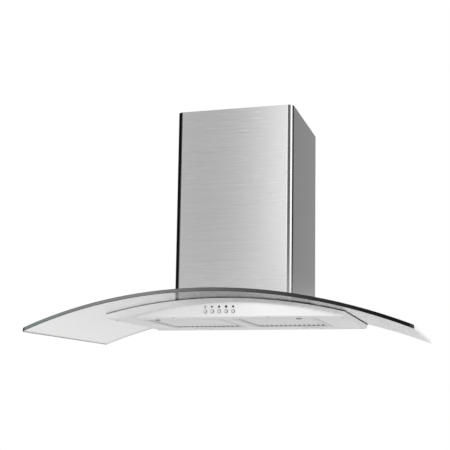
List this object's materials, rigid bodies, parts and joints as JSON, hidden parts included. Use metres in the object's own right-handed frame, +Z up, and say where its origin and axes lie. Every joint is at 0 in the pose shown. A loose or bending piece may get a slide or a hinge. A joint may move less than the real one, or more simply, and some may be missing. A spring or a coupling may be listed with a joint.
{
  "type": "range hood",
  "caption": "Wall-hung kitchen hood with an arched glass visor, slim steel canopy with push buttons and grease filters, fan box and telescopic chimney.",
  "frame": {"origin": "midway between the two wall keyholes, on the plane of the wall, 250 mm above the canopy's underside", "axes": "+X to the right seen from the room, +Y into the wall, +Z up"},
  "size_m": [0.9, 0.505, 0.5636],
  "materials": {
    "canopy_steel": "satin, fine horizontal grain",
    "panel_steel": "satin, fine horizontal grain",
    "chimney_steel": "satin, fine horizontal grain",
    "upper_chimney_steel": "satin, fine horizontal grain",
    "clear_glass": "polished, greenish at its edges",
    "seal_rubber": "matt",
    "chimney_seal_rubber": "matt, light grey",
    "polished_steel": "polished",
    "zinc_screws": "bright zinc",
    "galvanised_sheet": "galvanised, satin",
    "filter_frame_aluminium": "satin",
    "filter_mesh_aluminium": "expanded mesh",
    "latch_plastic": "matt",
    "button_white": "semi-gloss",
    "ring_metal": "satin",
    "switch_plastic": "matt",
    "lamp_metal": "satin",
    "lens_plastic": "frosted",
    "driver_plastic": "matt",
    "scroll_plastic": "matt",
    "impeller_plastic": "matt",
    "shaft_steel": "ground",
    "motor_metal": "grey enamel",
    "bracket_steel": "galvanised",
    "bush_rubber": "matt",
    "collar_plastic": "matt",
    "flap_plastic": "matt",
    "terminal_plastic": "matt",
    "gland_plastic": "matt",
    "capacitor_aluminium": "satin",
    "glide_plastic": "matt"
  },
  "bodies": {
    "hood": {"canopy_shell": "canopy_steel", "underside_panel": "panel_steel", "panel_screws": "zinc_screws", "curved_glass": "clear_glass", "glass_gasket": "seal_rubber", "glass_bolts": "polished_steel", "bolt_washers": "polished_steel", "bolt_nuts": "zinc_screws", "button_rings": "ring_metal", "switch_bank": "switch_plastic", "switch_bracket": "bracket_steel", "lamp_housing_left": "lamp_metal", "lamp_housing_right": "lamp_metal", "lamp_lens_left": "lens_plastic", "lamp_lens_right": "lens_plastic", "led_driver": "driver_plastic", "blower_box": "galvanised_sheet", "blower_cover": "galvanised_sheet", "cover_screws": "zinc_screws", "box_screws": "zinc_screws", "scroll_half_left": "scroll_plastic", "scroll_half_right": "scroll_plastic", "seam_screws": "zinc_screws", "fan_motor": "motor_metal", "motor_bracket": "bracket_steel", "motor_bushes": "bush_rubber", "motor_screws": "zinc_screws", "outlet_collar": "collar_plastic", "outlet_screws": "zinc_screws", "flap_pin": "shaft_steel", "terminal_box": "terminal_plastic", "terminal_lid": "terminal_plastic", "cable_gland": "gland_plastic", "capacitor": "capacitor_aluminium", "lower_chimney": "chimney_steel", "chimney_strip": "chimney_seal_rubber"},
    "upper_chimney": {"upper_chimney": "upper_chimney_steel", "chimney_glides": "glide_plastic", "wall_bracket": "bracket_steel", "bracket_screws": "zinc_screws"},
    "impeller": {"impeller": "impeller_plastic", "motor_shaft": "shaft_steel", "impeller_nut": "zinc_screws"},
    "front_flap": {"flap_front": "flap_plastic"},
    "rear_flap": {"flap_rear": "flap_plastic"},
    "left_filter": {"filter_frame_left": "filter_frame_aluminium", "filter_mesh_left": "filter_mesh_aluminium"},
    "right_filter": {"filter_frame_right": "filter_frame_aluminium", "filter_mesh_right": "filter_mesh_aluminium"},
    "left_latch": {"filter_latch_left": "latch_plastic"},
    "right_latch": {"filter_latch_right": "latch_plastic"},
    "light_button": {"light_button": "button_white"},
    "stop_button": {"stop_button": "button_white"},
    "low_speed_button": {"low_speed_button": "button_white"},
    "middle_speed_button": {"middle_speed_button": "button_white"},
    "high_speed_button": {"high_speed_button": "button_white"}
  },
  "joints": [
    {"name": "chimney_extension", "type": "slide", "parent": "hood", "child": "upper_chimney", "axis": [0, 0, 1], "range_m": [0, 0.3]},
    {"name": "impeller_spin", "type": "hinge", "parent": "hood", "child": "impeller", "pos_m": [0, -0.095, -0.098], "axis": [-1, 0, 0], "continuous": true},
    {"name": "front_flap_swing", "type": "hinge", "parent": "hood", "child": "front_flap", "pos_m": [0, -0.145, 0.064], "axis": [-1, 0, 0], "range_deg": [0, 75]},
    {"name": "rear_flap_swing", "type": "hinge", "parent": "hood", "child": "rear_flap", "pos_m": [0, -0.145, 0.064], "axis": [1, 0, 0], "range_deg": [0, 75]},
    {"name": "left_filter_swing", "type": "hinge", "parent": "hood", "child": "left_filter", "pos_m": [-0.113, -0.0908, -0.2475], "axis": [1, 0, 0], "range_deg": [0, 40]},
    {"name": "left_latch_slide", "type": "slide", "parent": "left_filter", "child": "left_latch", "axis": [0, 1, 0], "range_m": [0, 0.0035], "stiffness_N_per_m": 300, "springref_m": -0.002},
    {"name": "right_filter_swing", "type": "hinge", "parent": "hood", "child": "right_filter", "pos_m": [0.113, -0.0908, -0.2475], "axis": [1, 0, 0], "range_deg": [0, 40]},
    {"name": "right_latch_slide", "type": "slide", "parent": "right_filter", "child": "right_latch", "axis": [0, 1, 0], "range_m": [0, 0.0035], "stiffness_N_per_m": 300, "springref_m": -0.002},
    {"name": "light_button_press", "type": "slide", "parent": "hood", "child": "light_button", "axis": [0, 1, 0], "range_m": [0, 0.0022], "stiffness_N_per_m": 400, "springref_m": -0.002},
    {"name": "stop_button_press", "type": "slide", "parent": "hood", "child": "stop_button", "axis": [0, 1, 0], "range_m": [0, 0.0022], "stiffness_N_per_m": 400, "springref_m": -0.002},
    {"name": "low_speed_button_press", "type": "slide", "parent": "hood", "child": "low_speed_button", "axis": [0, 1, 0], "range_m": [0, 0.0022], "stiffness_N_per_m": 400, "springref_m": -0.002},
    {"name": "middle_speed_button_press", "type": "slide", "parent": "hood", "child": "middle_speed_button", "axis": [0, 1, 0], "range_m": [0, 0.0022], "stiffness_N_per_m": 400, "springref_m": -0.002},
    {"name": "high_speed_button_press", "type": "slide", "parent": "hood", "child": "high_speed_button", "axis": [0, 1, 0], "range_m": [0, 0.0022], "stiffness_N_per_m": 400, "springref_m": -0.002}
  ]
}
